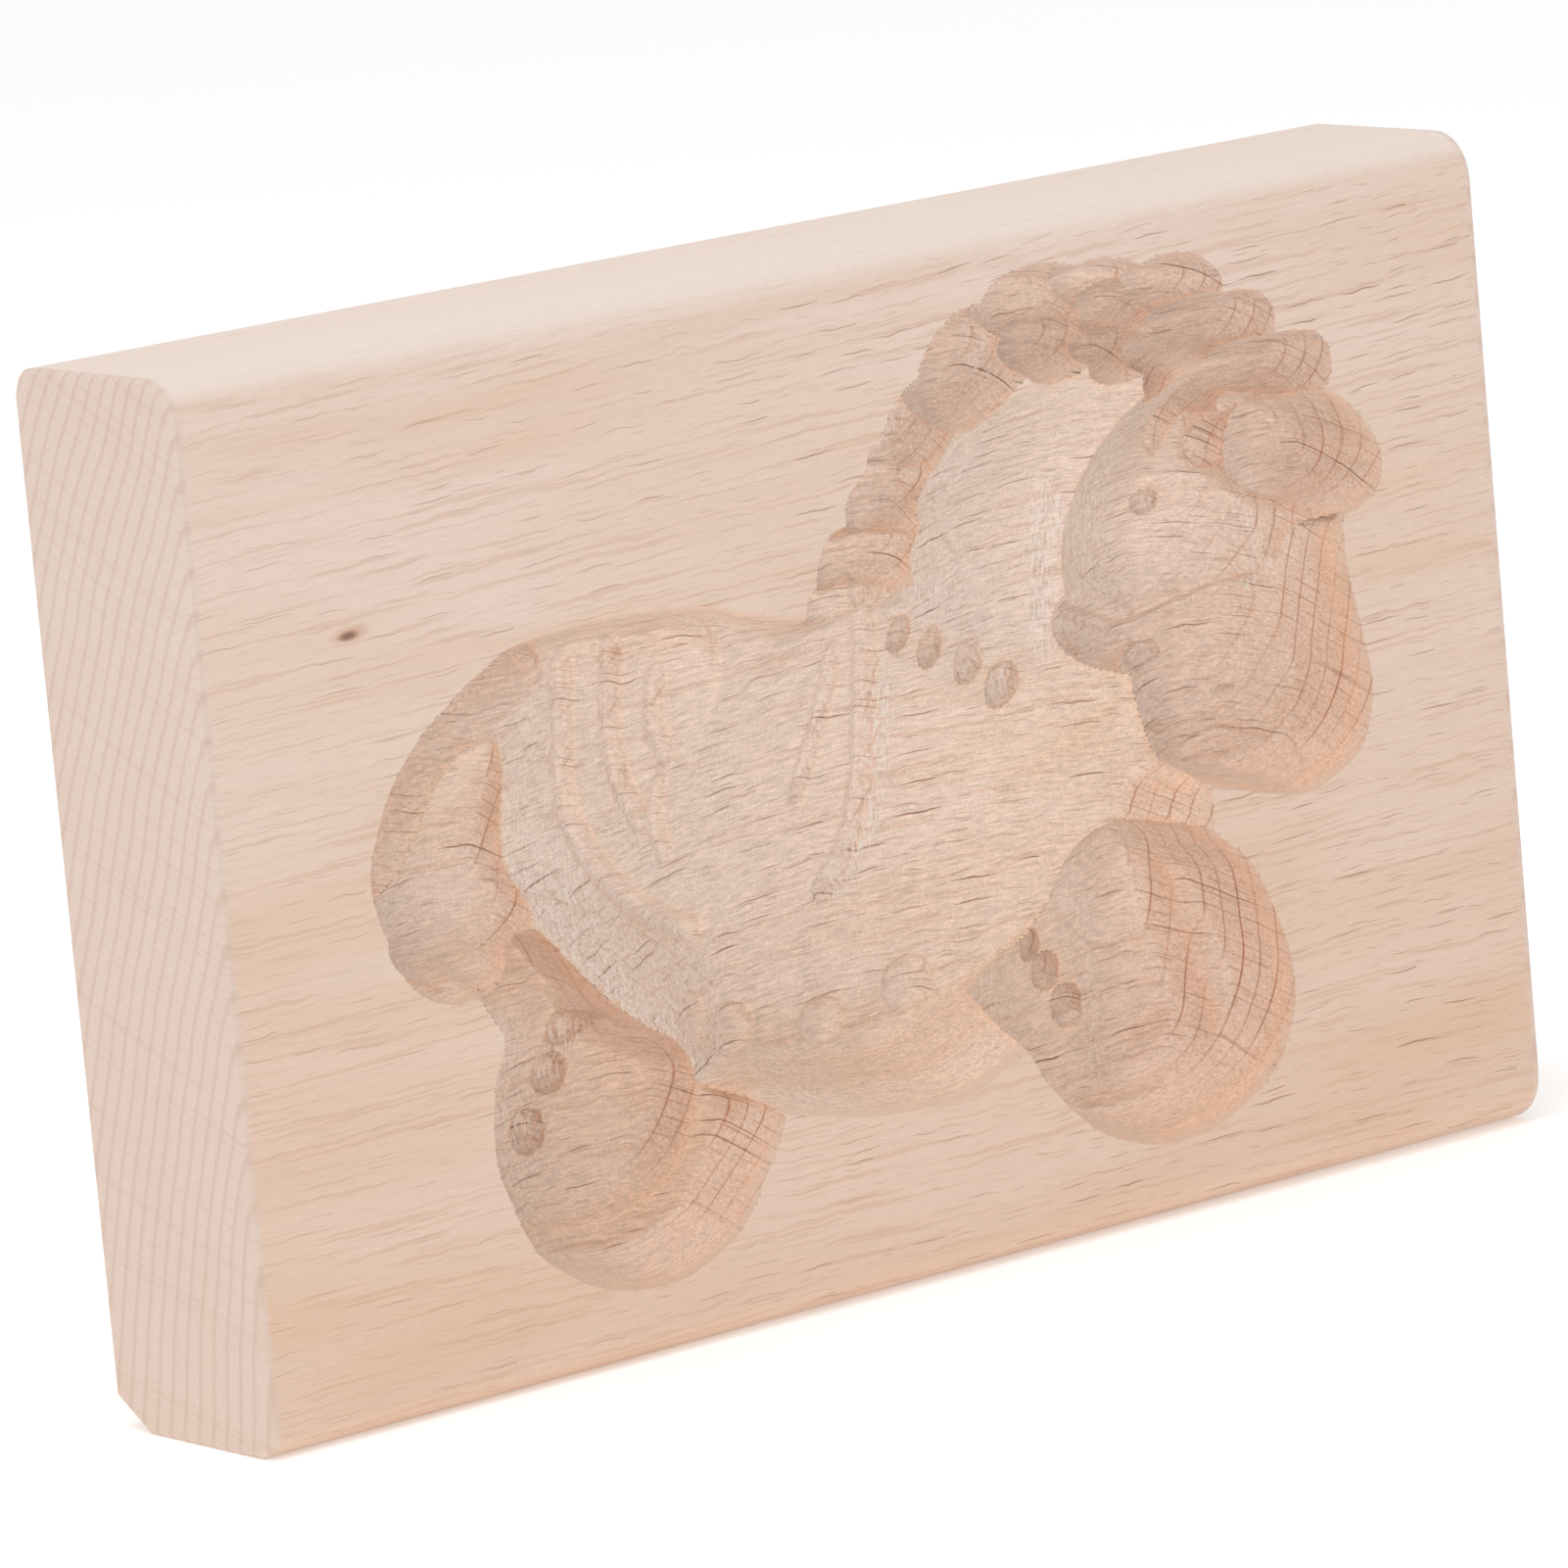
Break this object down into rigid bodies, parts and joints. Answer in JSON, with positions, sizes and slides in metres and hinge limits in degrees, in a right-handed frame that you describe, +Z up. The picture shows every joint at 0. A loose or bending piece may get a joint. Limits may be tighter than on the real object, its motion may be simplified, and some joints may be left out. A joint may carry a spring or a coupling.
{
  "type": "cookie stamp",
  "caption": "Thick beech board with a horse hollowed into its face, for pressing a raised figure into gingerbread or biscuit dough.",
  "frame": {"origin": "middle of the underside of the bounding box, on the surface that the long lower edge stands on", "axes": "+X along the board, the way the carved horse faces; +Y from the carved face to the plain back; +Z up, from the lower long edge to the upper one"},
  "size_m": [0.15, 0.0234, 0.095],
  "materials": {
    "beech": "matte"
  },
  "bodies": {
    "root": {"carved_board": "beech"}
  },
  "joints": []
}
